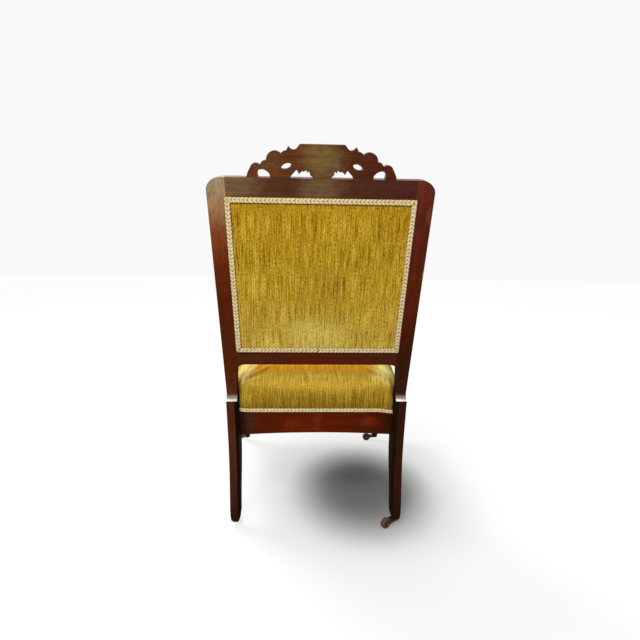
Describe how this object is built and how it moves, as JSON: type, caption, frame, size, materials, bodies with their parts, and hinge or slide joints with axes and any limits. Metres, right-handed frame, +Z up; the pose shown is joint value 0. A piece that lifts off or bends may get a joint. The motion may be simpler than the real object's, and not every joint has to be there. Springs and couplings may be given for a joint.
{
  "type": "upholstered parlour chair on casters",
  "caption": "Low armless parlour chair with a raked, padded back under a pierced crest, a sprung and upholstered seat, and swivelling casters on its legs.",
  "frame": {"origin": "on the floor, under the middle of the chair's bounding box", "axes": "+Z up, -Y to the chair's front, +X to the sitter's left"},
  "size_m": [0.5067, 0.6267, 0.8876],
  "materials": {
    "mahogany": "french-polished dark mahogany with a soft gloss",
    "plain_beech": "plain unpolished beech",
    "gold_velvet": "mustard gold strie velvet with a short pile",
    "cream_braid": "woven cream gimp braid",
    "jute": "plain jute webbing and hessian",
    "stuffing": "hair and flock stuffing",
    "black_cloth": "thin black lining cloth",
    "caster_brass": "darkened old brass",
    "caster_wheel_wood": "turned hardwood with worn treads",
    "steel": "dull drawn steel"
  },
  "bodies": {
    "root": {"rear_upright_left": "mahogany", "rear_upright_right": "mahogany", "crest_rail": "mahogany", "crest_fretwork": "mahogany", "crest_dowels": "plain_beech", "lower_back_rail": "mahogany", "rear_seat_rail": "mahogany", "front_seat_rail": "mahogany", "side_seat_rail_left": "mahogany", "side_seat_rail_right": "mahogany", "front_leg_left": "mahogany", "front_leg_right": "mahogany", "corner_block_front_left": "plain_beech", "corner_block_front_right": "plain_beech", "corner_block_rear_left": "plain_beech", "corner_block_rear_right": "plain_beech", "corner_block_screws": "steel", "back_webbing": "jute", "back_stuffing": "stuffing", "inside_back_cover": "gold_velvet", "inside_back_gimp": "cream_braid", "outside_back_cover": "gold_velvet", "outside_back_gimp": "cream_braid", "seat_webbing": "jute", "seat_webbing_tacks": "steel", "seat_springs": "steel", "seat_hessian": "jute", "seat_stuffing": "stuffing", "seat_cover": "gold_velvet", "seat_gimp": "cream_braid", "dust_cover": "black_cloth", "caster_socket_front_left": "caster_brass", "caster_socket_front_right": "caster_brass", "caster_socket_rear_left": "caster_brass", "caster_socket_rear_right": "caster_brass"},
    "caster_front_left": {"caster_horn_front_left": "caster_brass", "caster_axle_front_left": "steel"},
    "wheel_front_left": {"caster_wheel_front_left": "caster_wheel_wood"},
    "caster_front_right": {"caster_horn_front_right": "caster_brass", "caster_axle_front_right": "steel"},
    "wheel_front_right": {"caster_wheel_front_right": "caster_wheel_wood"},
    "caster_rear_left": {"caster_horn_rear_left": "caster_brass", "caster_axle_rear_left": "steel"},
    "wheel_rear_left": {"caster_wheel_rear_left": "caster_wheel_wood"},
    "caster_rear_right": {"caster_horn_rear_right": "caster_brass", "caster_axle_rear_right": "steel"},
    "wheel_rear_right": {"caster_wheel_rear_right": "caster_wheel_wood"}
  },
  "joints": [
    {"name": "front_left_swivel", "type": "hinge", "parent": "root", "child": "caster_front_left", "pos_m": [0.223, -0.283, 0.025], "axis": [0, 0, 1], "continuous": true},
    {"name": "front_left_roll", "type": "hinge", "parent": "caster_front_left", "child": "wheel_front_left", "pos_m": [0.24421, -0.30421, 0.0125], "axis": [0.7071, 0.7071, 0], "continuous": true},
    {"name": "front_right_swivel", "type": "hinge", "parent": "root", "child": "caster_front_right", "pos_m": [-0.223, -0.283, 0.025], "axis": [0, 0, 1], "continuous": true},
    {"name": "front_right_roll", "type": "hinge", "parent": "caster_front_right", "child": "wheel_front_right", "pos_m": [-0.193, -0.283, 0.0125], "axis": [0, 1, 0], "continuous": true},
    {"name": "rear_left_swivel", "type": "hinge", "parent": "root", "child": "caster_rear_left", "pos_m": [0.19675, 0.21944, 0.025], "axis": [0, 0, 1], "continuous": true},
    {"name": "rear_left_roll", "type": "hinge", "parent": "caster_rear_left", "child": "wheel_rear_left", "pos_m": [0.19675, 0.18944, 0.0125], "axis": [1, 0, 0], "continuous": true},
    {"name": "rear_right_swivel", "type": "hinge", "parent": "root", "child": "caster_rear_right", "pos_m": [-0.19675, 0.21944, 0.025], "axis": [0, 0, 1], "continuous": true},
    {"name": "rear_right_roll", "type": "hinge", "parent": "caster_rear_right", "child": "wheel_rear_right", "pos_m": [-0.17103, 0.23489, 0.0125], "axis": [-0.515, 0.8572, 0], "continuous": true}
  ]
}
